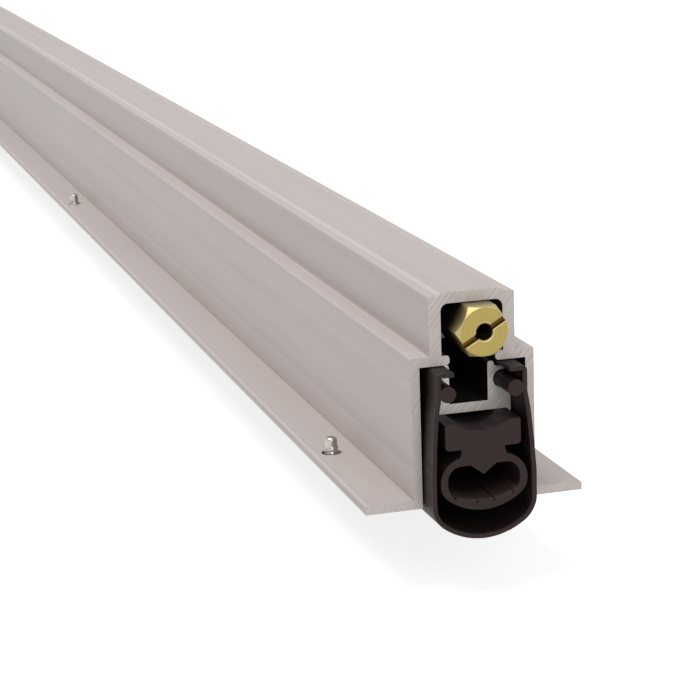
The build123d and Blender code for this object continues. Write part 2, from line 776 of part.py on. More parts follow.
with BuildPart() as block_set_screws:
    with BuildSketch(Plane.XY.offset(ceiling - set_screw_length)):
        with Locations([(x, set_screw_offset) for x in block_screws]):
            Circle(set_screw_d / 2)
            RegularPolygon(socket_across_flats / 2, 6, major_radius=False, mode=Mode.SUBTRACT)
    extrude(amount=socket_depth)
    with BuildSketch(Plane.XY.offset(ceiling - set_screw_length + socket_depth)):
        with Locations([(x, set_screw_offset) for x in block_screws]):
            Circle(set_screw_d / 2)
    extrude(amount=set_screw_length - socket_depth)
block_set_screws.part.label = "block_set_screws"
export_step(block_set_screws.part, "parts/block_set_screws.step")
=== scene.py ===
# Automatic door bottom seal, drawn up in its housing as the photograph shows it.
# The CAD pieces come from the frame. The screws, nut, rod, springs and rubber are built here,
# with their sizes in millimetres in the part's own frame, and Blender takes metres.
import math

import bmesh
import bpy
from mathutils import Matrix, Vector


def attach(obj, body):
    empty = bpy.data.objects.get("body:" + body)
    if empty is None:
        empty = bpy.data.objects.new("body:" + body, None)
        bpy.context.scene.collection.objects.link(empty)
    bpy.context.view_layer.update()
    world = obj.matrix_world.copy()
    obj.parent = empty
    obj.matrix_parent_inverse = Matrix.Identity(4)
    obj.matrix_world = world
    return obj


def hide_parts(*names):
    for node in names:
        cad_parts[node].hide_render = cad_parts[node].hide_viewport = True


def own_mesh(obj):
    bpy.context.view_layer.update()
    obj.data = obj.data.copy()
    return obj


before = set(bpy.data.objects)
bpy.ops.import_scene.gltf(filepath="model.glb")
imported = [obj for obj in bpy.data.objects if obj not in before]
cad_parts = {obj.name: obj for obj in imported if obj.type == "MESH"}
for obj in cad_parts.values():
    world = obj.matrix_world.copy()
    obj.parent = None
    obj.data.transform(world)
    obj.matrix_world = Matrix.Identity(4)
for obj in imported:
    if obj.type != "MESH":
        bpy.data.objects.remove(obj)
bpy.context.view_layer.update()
scene = bpy.context.scene
scene.view_settings.view_transform = "Standard"

MM = 0.001
SHARP_ANGLE = 32.0

# Camera, found from the photograph's edges
CAMERA_PLACE = (916.142, -132.865, 128.805)
CAMERA_RIGHT = (0.28047766, 0.95929109, -0.03305901)
CAMERA_DOWN = (0.21978991, -0.09771236, -0.97064138)
CAMERA_AHEAD = (-0.9343579, 0.26497718, -0.23824864)
FOCAL_PIXELS = 2177.34
PICTURE_PIXELS = 700
SENSOR_WIDTH = 36.0

# The bar
END_X = 533.4
FLOOR_Z = -19.45

# Screws
SCREW_ROWS = (-495.3, -165.1, 165.1, 495.3)
SCREW_OFFSET = 18.325
SCREW_TURNS = (20, 75, 130, 48)
SCREW_PITCH = 1.5
SCREW_SEGMENTS = 40
HEAD_BOTTOM = -1.78
HEAD_RADIUS = 3.22
NECK_RADIUS = 1.95
NECK_START = -0.51
THREAD_END = 1.9
SCREW_THREAD_DEPTH = 0.18
SCREW_FLARE = 0.34
POINT_RADIUS = 1.27
POINT_ROUNDING = 0.6
TIP_Z = 3.35
RECESS_HALF_WIDTH = 0.4
RECESS_REACH = 1.6
RECESS_DEPTH = 0.8
RECESS_TAPER = 0.82

# Rod and nut
AXIS_Y = 0.6
AXIS_Z = 33.45
NUT_FRONT = 538.9
NUT_BACK = 524.9
NUT_FLATS = 9.525
NUT_FACE_RADIUS = 4.7
NUT_CHAMFER = 1.4
NUT_HOLE_RADIUS = 1.6
NUT_THREAD_DEPTH = 0.2
NUT_THREAD_PITCH = 0.7
NUT_SLOT_WIDTH = 1.2
NUT_SLOT_DEPTH = 1.2
NUT_SLOT_ANGLE = 30.0
NUT_EDGE = 0.11
NUT_RIM = 0.16
NUT_SEGMENTS = 96
NUT_SHARP_ANGLE = 24.0
ROD_REAR = -413.4
ROD_RADIUS = 2.0
ROD_CHAMFER = 0.25
ROD_THREAD_CORE = 1.33
ROD_SHOULDER = 521.9
ROD_FRONT = 532.9

# Return springs
SPRING_STARTS = {"front": 374.4, "rear": -392.4}
SPRING_LENGTH = 19.56
SPRING_RADIUS = 2.75
SPRING_WIRE_RADIUS = 0.4
SPRING_TURNS = 8
SPRING_STEPS = 36
SPRING_CLOSING = 0.1045
WIRE_SIDES = 12

# Rubber pieces
RUBBER_END = 538.75
BEAD_Y = 6.85
BEAD_Z = 21.85
BEAD_RADIUS = 1.6
SKIRT_WALL = 0.85
SKIRT_TOP = 26.05
SKIRT_BOTTOM = -7.4
SKIRT_TAB_GAP = 11.2
SKIRT_TOP_HALF = 9.1
SKIRT_FLARE_HALF = 9.7
SKIRT_FLARE_Z = 17.45
SKIRT_HALF = 10.4
SKIRT_STRAIGHT_Z = 5.24
SKIRT_CORNER_Z = -0.26
SKIRT_CORNER_RADIUS = 5.5
SKIRT_SHOULDER_RADIUS = 0.9
SKIRT_SPREAD = 0.4
SPREAD_Z = 3.0
SPREAD_HEIGHT = 9.0
BLOCK_HALF = 7.6
BLOCK_TOP = 15.85
BLOCK_UNDER = 10.75
BLOCK_RADIUS = 0.8
VALLEY_HALF = 5.2
VALLEY_DEPTH = 1.8
NECK_HALF = 4.3
BULB_TOP = 9.15
BULB_TOP_HALF = 4.2
BULB_HALF = 8.65
BULB_BOTTOM = -1.6
BULB_SIDE = (3.8, 4.3)
BULB_CORNER_RADIUS = 3.6
HOLLOW_TOP = 7.5
HOLLOW_TOP_HALF = 4.5
HOLLOW_HALF = 7.25
HOLLOW_BOTTOM = 0.2
HOLLOW_SIDE = (3.9, 4.8)
HOLLOW_CORNER_RADIUS = 3.0
WEDGE_HALF = 2.65
WEDGE_DEPTH = 2.0
NOTCHES = (-5.7, -1.2, 2.2, 5.9)
NOTCH_WIDTH = 0.9
NOTCH_DEPTH = 0.45
NOTCH_SHAPE = ((-0.1, 0.0), (0.0, 1.0), (0.35, 0.65), (0.7, 0.3))

# Marks, stains, dark inside walls, and painted light and shade
FACE_EDGE = 0.1
DARK_WALL_EDGE = 0.1
SAW_WANDER = 0.5
FINE_SAW_SHARE = 0.78
NUT_BURR_HIGHLIGHT = 0.1
LIT_FLOOR_Z = 1.2
LIT_FLOOR_HALF = 1.6
LIT_FLOOR_LENGTH = 8.0


# Materials


def srgb(red, green, blue):
    """A colour read as 0 to 255 on a screen, as the linear colour that Blender takes."""
    shares = (red / 255, green / 255, blue / 255)
    linear = [((c + 0.055) / 1.055) ** 2.4 if c > 0.04 else c / 12.92 for c in shares]
    return (*linear, 1.0)


def tone(colour, factor):
    """A colour made darker or lighter."""
    return (*(min(c * factor, 1.0) for c in colour[:3]), 1.0)


class Graph:
    """A new material's nodes, with short calls that add and join them."""

    def __init__(self, name):
        self.material = bpy.data.materials.new(name)
        self.material.use_nodes = True
        self.tree = self.material.node_tree
        self.tree.nodes.clear()
        self.shader = self.tree.nodes.new("ShaderNodeBsdfPrincipled")
        output = self.tree.nodes.new("ShaderNodeOutputMaterial")
        self.tree.links.new(self.shader.outputs["BSDF"], output.inputs["Surface"])
        places = self.tree.nodes.new("ShaderNodeTexCoord")
        self.place = places.outputs["Object"]
        self.normal = places.outputs["Normal"]

    def put(self, socket, value):
        if isinstance(value, bpy.types.NodeSocket):
            self.tree.links.new(value, socket)
        else:
            socket.default_value = value

    def maths(self, operation, first, second=0.0):
        node = self.tree.nodes.new("ShaderNodeMath")
        node.operation = operation
        self.put(node.inputs[0], first)
        self.put(node.inputs[1], second)
        return node.outputs[0]

    def product(self, first, *others):
        for other in others:
            first = self.maths("MULTIPLY", first, other)
        return first

    def vector(self, operation, first, second=(0.0, 0.0, 0.0)):
        node = self.tree.nodes.new("ShaderNodeVectorMath")
        node.operation = operation
        self.put(node.inputs[0], first)
        self.put(node.inputs[1], second)
        is_number = operation in ("LENGTH", "DOT_PRODUCT")
        return node.outputs["Value" if is_number else "Vector"]

    def part(self, vector, axis):
        node = self.tree.nodes.new("ShaderNodeSeparateXYZ")
        self.put(node.inputs[0], vector)
        return node.outputs[axis]

    def noise(self, vector, scale=(1.0, 1.0, 1.0), detail=2.0, roughness=0.5):
        """Noise from 0 to 1 whose grain is 1/scale metres long on each axis."""
        node = self.tree.nodes.new("ShaderNodeTexNoise")
        self.put(node.inputs["Vector"], self.vector("MULTIPLY", vector, scale))
        node.inputs["Scale"].default_value = 1.0
        node.inputs["Detail"].default_value = detail
        node.inputs["Roughness"].default_value = roughness
        return node.outputs[0]

    def bands(self, distance, scale, detail=3.0):
        """Uneven bands along a distance, scale of them to a metre."""
        node = self.tree.nodes.new("ShaderNodeTexNoise")
        node.noise_dimensions = "1D"
        self.put(node.inputs["W"], self.maths("MULTIPLY", distance, scale))
        node.inputs["Scale"].default_value = 1.0
        node.inputs["Detail"].default_value = detail
        return node.outputs[0]

    def span(self, value, low, high, to_low=0.0, to_high=1.0):
        """value moved from the range low to high into to_low to to_high, and held there."""
        node = self.tree.nodes.new("ShaderNodeMapRange")
        self.put(node.inputs["Value"], value)
        node.inputs["From Min"].default_value = low
        node.inputs["From Max"].default_value = high
        node.inputs["To Min"].default_value = to_low
        node.inputs["To Max"].default_value = to_high
        return node.outputs[0]

    def within(self, value, low, high, edge):
        """1 from low to high and 0 beyond, with soft edges, for a value in metres. The rest is
        given in millimetres."""
        above = self.span(value, (low - edge) * MM, low * MM)
        return self.product(above, self.below(value, high, high + edge))

    def below(self, value, low, high):
        """1 under low and 0 over high, for a value in metres. The rest is given in millimetres."""
        return self.span(value, low * MM, high * MM, 1.0, 0.0)

    def blend(self, share, first, second):
        """A colour between two."""
        node = self.tree.nodes.new("ShaderNodeMix")
        node.data_type = "RGBA"
        self.put(node.inputs[0], share)
        self.put(node.inputs[6], first)
        self.put(node.inputs[7], second)
        return node.outputs[2]

    def choose(self, share, first, second):
        """A number between two."""
        node = self.tree.nodes.new("ShaderNodeMix")
        self.put(node.inputs[0], share)
        self.put(node.inputs[2], first)
        self.put(node.inputs[3], second)
        return node.outputs[0]

    def bump(self, height, depth):
        """Relief of this depth in millimetres."""
        node = self.tree.nodes.new("ShaderNodeBump")
        node.inputs["Distance"].default_value = depth * MM
        self.put(node.inputs["Height"], height)
        return node.outputs["Normal"]

    def finish(self, colour, roughness, metallic, normal, specular=0.5):
        self.put(self.shader.inputs["Base Color"], colour)
        self.put(self.shader.inputs["Roughness"], roughness)
        self.put(self.shader.inputs["Metallic"], metallic)
        self.put(self.shader.inputs["Normal"], normal)
        self.put(self.shader.inputs["Specular IOR Level"], specular)
        return self.material


def faces_along_bar(graph):
    """1 on faces cut square across the bar and 0 on its sides."""
    across = graph.maths("ABSOLUTE", graph.part(graph.normal, "X"))
    return graph.span(across, 0.75, 0.9)


def from_axis(graph, centre):
    """The distance in metres from a line along the bar, given by its y and z in millimetres."""
    flat = graph.vector("MULTIPLY", graph.place, (0.0, 1.0, 1.0))
    middle = (0.0, centre[0] * MM, centre[1] * MM)
    return graph.vector("LENGTH", graph.vector("SUBTRACT", flat, middle))


def extruded(name, side, cut, cut_dark, roughness, metallic, saw_centre, inside, faces=()):
    """Extruded aluminium: fine die lines along the bar and curved saw marks on its cut ends. inside
    gives boxes across the bar, as half width, low and high in millimetres, whose walls are drawn
    at 12 percent of the side colour. faces gives heights between which the sides are drawn lighter
    or darker, and how much, for the die's differences and partly as painted light and shade."""
    graph = Graph(name)
    cut_face = faces_along_bar(graph)
    lines = graph.noise(graph.place, (3.0, 2600.0, 2600.0), detail=3.0)
    wide_lines = graph.noise(graph.place, (1.2, 420.0, 420.0), detail=2.0)
    clouds = graph.noise(graph.place, (14.0, 70.0, 70.0), detail=3.0)
    wander = graph.maths("MULTIPLY", graph.noise(graph.place, (420.0, 420.0, 420.0)), SAW_WANDER * MM)
    reach = graph.maths("ADD", from_axis(graph, saw_centre), wander)
    saw = graph.bands(reach, 4000.0, detail=2.0)
    wide_saw = graph.bands(reach, 1300.0, detail=3.0)
    patches = graph.noise(graph.place, (350.0, 350.0, 350.0), detail=3.0)
    side_colour = graph.blend(graph.span(wide_lines, 0.3, 0.7), tone(side, 0.96), tone(side, 1.04))
    side_colour = graph.blend(graph.span(clouds, 0.3, 0.7), side_colour, tone(side, 1.03))
    height = graph.part(graph.place, "Z")
    # Painted light and shade in part: the bands by height also stand for how light falls on each side,
    # besides the die's differences.
    for low, high, factor in faces:
        share = graph.within(height, low, high, FACE_EDGE)
        side_colour = graph.vector("MULTIPLY", side_colour, graph.choose(share, 1.0, factor))
    uneven = graph.span(patches, 0.35, 0.65, 0.35, 1.0)
    wide_marks = graph.product(graph.span(wide_saw, 0.3, 0.7), uneven)
    fine_marks = graph.span(saw, 0.35, 0.65, 0.0, FINE_SAW_SHARE)
    marks = graph.maths("ADD", graph.maths("MULTIPLY", wide_marks, 1.0 - FINE_SAW_SHARE), fine_marks)
    colour = graph.blend(cut_face, side_colour, graph.blend(marks, cut_dark, cut))
    across = graph.maths("ABSOLUTE", graph.part(graph.place, "Y"))
    not_cut = graph.maths("SUBTRACT", 1.0, cut_face)
    # Walls inside the housing and bar drawn at 12 percent of the side colour.
    for half_width, low, high in inside:
        between_walls = graph.below(across, half_width + DARK_WALL_EDGE, half_width + 3 * DARK_WALL_EDGE)
        at_height = graph.within(height, low - DARK_WALL_EDGE, high + DARK_WALL_EDGE, 2 * DARK_WALL_EDGE)
        colour = graph.blend(graph.product(between_walls, at_height, not_cut), colour, tone(side, 0.12))
    side_rough = graph.span(lines, 0.3, 0.7, roughness - 0.05, roughness + 0.07)
    rough = graph.choose(cut_face, side_rough, roughness + 0.1)
    side_relief = graph.bump(lines, 0.004)
    cut_relief = graph.bump(saw, 0.008)
    normal = graph.tree.nodes.new("ShaderNodeMix")
    normal.data_type = "VECTOR"
    graph.put(normal.inputs[0], cut_face)
    graph.put(normal.inputs[4], side_relief)
    graph.put(normal.inputs[5], cut_relief)
    return graph.finish(colour, rough, metallic, normal.outputs[1], specular=0.25)


def rubber(name, skin, cut, dust):
    """Extruded rubber: a skin with lengthwise lines and stray dust, and knife-cut ends whose edges
    carry pale dust and a painted highlight. The hollow's floor is painted lighter near the ends.
    """
    graph = Graph(name)
    cut_face = faces_along_bar(graph)
    lines = graph.noise(graph.place, (4.0, 1500.0, 1500.0), detail=3.0)
    grain = graph.noise(graph.place, (3200.0, 3200.0, 3200.0), detail=3.0, roughness=0.65)
    blotches = graph.noise(graph.place, (90.0, 240.0, 240.0), detail=3.0)
    speck = graph.tree.nodes.new("ShaderNodeTexVoronoi")
    speck.inputs["Scale"].default_value = 330.0
    graph.put(speck.inputs["Vector"], graph.place)
    near = graph.span(speck.outputs["Distance"], 0.05, 0.085, 1.0, 0.0)
    chosen = graph.span(graph.part(speck.outputs["Color"], "X"), 0.8, 0.82)
    specks = graph.maths("MULTIPLY", near, chosen)
    skin_colour = graph.blend(graph.span(blotches, 0.35, 0.7), skin, tone(skin, 1.5))
    cut_colour = graph.blend(graph.span(grain, 0.3, 0.7), tone(cut, 0.82), tone(cut, 1.15))
    end = graph.maths("ABSOLUTE", graph.part(graph.place, "X"))
    # Pale dust and a painted highlight along the knife-cut edges of the skin.
    edge_dust_and_highlight = graph.span(end, (RUBBER_END - 0.4) * MM, (RUBBER_END - 0.1) * MM, 0.0, 0.6)
    edge_dust_and_highlight = graph.product(edge_dust_and_highlight, graph.span(grain, 0.3, 0.6))
    skin_colour = graph.blend(edge_dust_and_highlight, skin_colour, tone(cut, 2.6))
    # Painted light: the hollow's floor drawn lighter towards the ends, where light falls in.
    level = graph.maths("SUBTRACT", graph.part(graph.place, "Z"), LIT_FLOOR_Z * MM)
    level = graph.below(graph.maths("ABSOLUTE", level), LIT_FLOOR_HALF, LIT_FLOOR_HALF + 0.3)
    facing_up = graph.span(graph.part(graph.normal, "Z"), 0.4, 0.7)
    near_end = graph.span(end, (RUBBER_END - LIT_FLOOR_LENGTH) * MM, (RUBBER_END - 0.5) * MM)
    painted_lit_floor = graph.product(level, facing_up, near_end)
    skin_colour = graph.blend(painted_lit_floor, skin_colour, tone(cut, 2.8))
    colour = graph.blend(cut_face, skin_colour, cut_colour)
    colour = graph.blend(graph.maths("MULTIPLY", specks, 0.5), colour, dust)
    rough = graph.choose(cut_face, graph.span(lines, 0.3, 0.7, 0.5, 0.68), 0.85)
    skin_height = graph.maths("ADD", lines, graph.maths("MULTIPLY", grain, 0.25))
    height = graph.choose(cut_face, skin_height, grain)
    return graph.finish(colour, rough, 0.0, graph.bump(height, 0.02), specular=0.3)


def turned_marks(graph, cut_face, ring_scale):
    """Rings on the ends of a piece turned about the rod's axis, and lines along its sides."""
    rings = graph.bands(from_axis(graph, (AXIS_Y, AXIS_Z)), ring_scale, detail=3.0)
    lines = graph.noise(graph.place, (120.0, 2400.0, 2400.0), detail=3.0)
    return graph.choose(cut_face, lines, rings)


def turned(name, colour, dark, roughness):
    """Metal turned about the rod's axis."""
    graph = Graph(name)
    marks = turned_marks(graph, faces_along_bar(graph), 3200.0)
    shade = graph.blend(graph.span(marks, 0.25, 0.7), dark, colour)
    rough = graph.span(marks, 0.3, 0.7, roughness + 0.08, roughness - 0.04)
    return graph.finish(shade, rough, 1.0, graph.bump(marks, 0.012))


def brass_nut():
    """Turned brass, darker brown towards its back, with painted shade in the slot and in the tapped
    hole. The chamfers are drawn lighter, for wear and a painted highlight, and pale painted
    highlights, standing also for burrs, lie at the hole's rim and below the slot."""
    bright, dull = srgb(167, 150, 90), srgb(148, 130, 74)
    drawn, rubbed_and_highlight, burr_highlight_pale = srgb(186, 171, 126), srgb(184, 169, 118), srgb(228, 216, 174)
    dark_back, slot_shade_brown, hole_shade = srgb(60, 50, 26), srgb(96, 74, 34), srgb(38, 28, 18)
    graph = Graph("brass")
    cut_face = faces_along_bar(graph)
    marks = turned_marks(graph, cut_face, 5200.0)
    stains = graph.noise(graph.place, (260.0, 260.0, 260.0), detail=4.0)
    reach = from_axis(graph, (AXIS_Y, AXIS_Z))
    tilt = graph.maths("ABSOLUTE", graph.part(graph.normal, "X"))
    depth = graph.maths("SUBTRACT", NUT_FRONT * MM, graph.part(graph.place, "X"))
    turn = math.radians(NUT_SLOT_ANGLE)
    from_middle = graph.vector("SUBTRACT", graph.place, (0.0, AXIS_Y * MM, AXIS_Z * MM))
    across = graph.vector("DOT_PRODUCT", from_middle, (0.0, -math.sin(turn), math.cos(turn)))

    shade = graph.blend(graph.span(marks, 0.25, 0.75), dull, bright)
    shade = graph.blend(graph.span(stains, 0.5, 0.8, 0.0, 0.35), shade, dull)
    shade = graph.blend(graph.span(tilt, 0.05, 0.2, 1.0, 0.0), shade, drawn)
    # Darker brown towards the nut's back.
    shade = graph.blend(graph.span(depth, 1.2 * MM, 5.5 * MM, 0.0, 0.88), shade, dark_back)

    width = graph.maths("ABSOLUTE", across)
    in_slot = graph.product(
        graph.below(width, 0.51 * NUT_SLOT_WIDTH, 0.53 * NUT_SLOT_WIDTH),
        graph.span(depth, 0.3 * NUT_SLOT_DEPTH * MM, 0.45 * NUT_SLOT_DEPTH * MM),
        graph.below(depth, 1.05 * NUT_SLOT_DEPTH, 1.1 * NUT_SLOT_DEPTH),
    )
    # Painted shade: the slot's floor and walls drawn dark brown.
    shade = graph.blend(in_slot, shade, slot_shade_brown)
    # The chamfers drawn lighter: worn brass, and partly a painted highlight.
    chamfer = graph.product(graph.span(tilt, 0.75, 0.85, 1.0, 0.0), graph.span(tilt, 0.3, 0.4))
    shade = graph.blend(chamfer, shade, rubbed_and_highlight)

    hole = NUT_HOLE_RADIUS + NUT_THREAD_DEPTH
    rim = (hole + NUT_RIM) * MM
    half_slot = NUT_SLOT_WIDTH / 2
    # Painted highlights: pale lines at the hole's rim and below the slot, standing also for burrs.
    round_hole = graph.span(reach, rim, rim + NUT_BURR_HIGHLIGHT * MM, 0.6, 0.0)
    below_slot = graph.product(
        graph.span(across, -(half_slot + 1.8 * NUT_BURR_HIGHLIGHT) * MM, -(half_slot + NUT_BURR_HIGHLIGHT) * MM),
        graph.below(across, -half_slot, -half_slot + 0.02),
    )
    at_front = graph.below(depth, 0.1, 0.2)
    burr_highlight = graph.product(graph.maths("MAXIMUM", round_hole, below_slot), at_front, 0.75)
    shade = graph.blend(burr_highlight, shade, burr_highlight_pale)
    # Painted shade: the tapped hole drawn nearly black.
    inside = graph.below(reach, hole + 0.02, hole + 0.08)
    in_hole = graph.product(inside, graph.span(depth, 0.1 * MM, 0.4 * MM))
    shade = graph.blend(in_hole, shade, hole_shade)

    side_rough = graph.span(tilt, 0.02, 0.3, 0.4, 0.6)
    rough = graph.choose(cut_face, side_rough, graph.span(marks, 0.3, 0.7, 0.44, 0.34))
    return graph.finish(shade, rough, 1.0, graph.bump(marks, 0.006))


def machined(name, colour, roughness, grain_scale=1500.0, relief=0.008):
    """Plated or tumbled steel and zinc with a fine uneven grain."""
    graph = Graph(name)
    grain = graph.noise(graph.place, (grain_scale,) * 3, detail=4.0)
    clouds = graph.noise(graph.place, (180.0, 180.0, 180.0), detail=3.0)
    shade = graph.blend(graph.span(clouds, 0.3, 0.7), tone(colour, 0.8), colour)
    rough = graph.span(grain, 0.3, 0.7, roughness - 0.06, roughness + 0.1)
    return graph.finish(shade, rough, 1.0, graph.bump(grain, relief))


def screw_steel():
    """Bright steel, with painted shade where the screw stands in its hole."""
    graph = Graph("screw_steel")
    grain = graph.noise(graph.place, (900.0, 900.0, 900.0), detail=4.0)
    bright, shade_in_hole = srgb(186, 180, 172), srgb(70, 64, 60)
    height = graph.part(graph.place, "Z")
    over_head = graph.span(height, 0.8 * HEAD_BOTTOM * MM, 0.6 * HEAD_BOTTOM * MM)
    # Painted shade where the screw stands in the flange's hole.
    in_hole = graph.product(graph.below(height, -0.3, 0.3), over_head)
    shade = graph.blend(graph.span(grain, 0.3, 0.7), tone(bright, 0.8), bright)
    shade = graph.blend(in_hole, shade, shade_in_hole)
    rough = graph.span(grain, 0.3, 0.7, 0.16, 0.26)
    return graph.finish(shade, rough, 1.0, graph.bump(grain, 0.008))


MILL = extruded(
    "mill_aluminium",
    srgb(186, 177, 174),
    srgb(214, 207, 202),
    srgb(180, 171, 167),
    roughness=0.48,
    metallic=0.25,
    saw_centre=(118.0, -64.0),
    inside=((10.75, -1.8, 26.3), (6.25, 26.3, 38.35)),
    # Partly painted light and shade: the flange edge and the crown's edge carry painted highlights, and
    # the other bands lighten or darken whole sides as light falls on them, besides the die's own
    # differences.
    faces=(
        (-1.7, -0.42, 0.93),
        (-0.3, -0.1, 1.12),
        (0.6, 6.0, 1.12),
        (27.6, 28.7, 1.11),
        (29.0, 39.0, 0.95),
        (39.6, 39.78, 0.94),
        (39.88, 40.24, 1.13),
        (40.34, 41.0, 0.9),
    ),
)
BAR = extruded(
    "bar_aluminium",
    srgb(176, 170, 166),
    srgb(214, 210, 206),
    srgb(170, 163, 158),
    roughness=0.36,
    metallic=0.6,
    saw_centre=(96.0, -70.0),
    inside=((3.93, 17.7, 25.4),),
)
RUBBER = rubber("black_rubber", srgb(26, 17, 16), srgb(52, 41, 39), srgb(150, 140, 135))
BRASS = brass_nut()
ROD_STEEL = turned("zinc_rod", srgb(150, 150, 148), srgb(105, 105, 103), 0.28)
ZINC_STEEL = machined("zinc_steel", srgb(168, 168, 166), 0.3)
SCREW_STEEL = screw_steel()
SPRING_STEEL = machined("spring_steel", srgb(130, 130, 132), 0.26)
BLOCK_ZINC = machined("block_zinc", srgb(150, 150, 148), 0.46, grain_scale=900.0, relief=0.03)


# Mesh helpers


def piece(name, mesh_in_mm, material, body, *nodes, smooth_angle=SHARP_ANGLE):
    """An object from a bmesh in millimetres, that rides on a body and stands for CAD nodes."""
    bmesh.ops.recalc_face_normals(mesh_in_mm, faces=mesh_in_mm.faces)
    mesh = bpy.data.meshes.new(name)
    mesh_in_mm.to_mesh(mesh)
    mesh_in_mm.free()
    mesh.transform(Matrix.Scale(MM, 4))
    mesh.materials.append(material)
    mesh.shade_smooth()
    mesh.set_sharp_from_angle(angle=math.radians(smooth_angle))
    made = bpy.data.objects.new(name, mesh)
    scene.collection.objects.link(made)
    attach(made, body)
    if nodes:
        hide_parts(*nodes)
    return made


def join_rings(bm, first, second):
    """Quads between two closed rings of as many vertices."""
    for i in range(len(first)):
        j = (i + 1) % len(first)
        bm.faces.new((first[i], first[j], second[j], second[i]))


def fill_rim(bm, rings):
    """Flat faces inside the first ring and outside the others."""
    edges = []
    for ring in rings:
        for i in range(len(ring)):
            edges.append(bm.edges.get((ring[i], ring[(i + 1) % len(ring)])))
    bmesh.ops.triangle_fill(bm, edges=edges, use_beauty=True)


def threaded(bm, profile, pitch, segments, place):
    """Rings of a shaft along its own Z. profile gives (height, core radius, thread height), and
    place turns a point of the shaft into the part's frame."""
    rings = []
    for height, core, crest in profile:
        ring = []
        for i in range(segments):
            angle = 2 * math.pi * i / segments
            turn = (height / pitch - i / segments) % 1.0
            radius = core + crest * max(0.0, 1 - abs(turn - 0.5) / 0.3)
            point = Vector((radius * math.cos(angle), radius * math.sin(angle), height))
            ring.append(bm.verts.new(place @ point))
        if rings:
            join_rings(bm, rings[-1], ring)
        rings.append(ring)
    return rings


def between(low, high, count):
    """count + 1 even steps from low to high."""
    return [low + (high - low) * i / count for i in range(count + 1)]


def tangent_arc(start, direction, end, count):
    """Points after start on the arc that leaves it in this direction and reaches end."""
    start, end, direction = Vector(start), Vector(end), Vector(direction).normalized()
    side = Vector((-direction.y, direction.x))
    across = end - start
    radius = across.length_squared / (2 * side.dot(across))
    centre = start + side * radius
    first = math.atan2(start.y - centre.y, start.x - centre.x)
    turn = math.atan2(end.y - centre.y, end.x - centre.x) - first
    if radius > 0:
        turn %= 2 * math.pi
    else:
        turn = -((-turn) % (2 * math.pi))
    radius = abs(radius)
    points = []
    for i in range(1, count + 1):
        angle = first + turn * i / count
        points.append((centre.x + radius * math.cos(angle), centre.y + radius * math.sin(angle)))
    return points


def corner_to_bottom(half, radius, level, bottom, corner_count, wide_count):
    """The rounded lower corner of a seal, from its side at (half, level) to (0, bottom)."""
    rise = level - bottom
    inner = half - radius
    wide = (inner**2 + rise**2 - radius**2) / (2 * (rise - radius))
    share = wide / (wide - radius)
    touch = (inner * share, bottom + wide + (rise - wide) * share)
    points = tangent_arc((half, level), (0, -1), touch, corner_count)
    heading = Vector((-(touch[1] - level), touch[0] - inner))
    if heading.x > 0:
        heading = -heading
    return points + tangent_arc(touch, heading, (0, bottom), wide_count)


def fillet_corner(before, corner, after, radius, count=5):
    """Points round a corner."""
    corner = Vector(corner)
    to_before = (Vector(before) - corner).normalized()
    to_after = (Vector(after) - corner).normalized()
    half_angle = to_before.angle(to_after) / 2
    start = corner + to_before * (radius / math.tan(half_angle))
    end = corner + to_after * (radius / math.tan(half_angle))
    return [tuple(start)] + tangent_arc(start, -to_before, end, count)


def inward(points, distance):
    """A right-hand wall's path, read from the top, moved towards the middle of the seal."""
    moved = []
    for i, point in enumerate(points):
        before = Vector(points[max(i - 1, 0)])
        after = Vector(points[min(i + 1, len(points) - 1)])
        along = (after - before).normalized()
        moved.append((point[0] + along.y * distance, point[1] - along.x * distance))
    return moved


def mirrored(points):
    return [(-y, z) for y, z in reversed(points)]


def knife_waves(y, z):
    """How unevenly the knife cut a rubber's end, in millimetres."""
    return 0.05 * math.sin(y * 0.9 + z * 0.37) + 0.03 * math.sin(y * 2.3 - z * 1.7)


def extruded_rubber(name, loops, node):
    """A rubber section along the whole bar, a little spread where it leaves the housing."""
    free_length = RUBBER_END - END_X
    half = [END_X * share for share in (0.99, 0.93, 0.8, 0.6, 0.4, 0.2)]
    half += [END_X + free_length * share for share in (0.25, 0.5, 0.7, 0.85, 0.95, 1.0)]
    stations = sorted(half + [-x for x in half] + [0.0])
    bm = bmesh.new()
    ends = {stations[0]: [], stations[-1]: []}
    for loop in loops:
        before = None
        for x in stations:
            free_share = max(0.0, (abs(x) - END_X) / free_length)
            ring = []
            for y, z in loop:
                spread = SKIRT_SPREAD * free_share**2 * max(0.0, y / SKIRT_HALF) ** 3
                spread *= math.exp(-(((z - SPREAD_Z) / SPREAD_HEIGHT) ** 2))
                trim = abs(knife_waves(y, z)) if x in ends else 0.0
                ring.append(bm.verts.new((x - math.copysign(trim, x), y + spread, z)))
            if before:
                join_rings(bm, before, ring)
            if x in ends:
                ends[x].append(ring)
            before = ring
    for rings in ends.values():
        fill_rim(bm, rings)
    return piece(name, bm, RUBBER, "dropper", node, smooth_angle=28.0)


# Rubber skirt


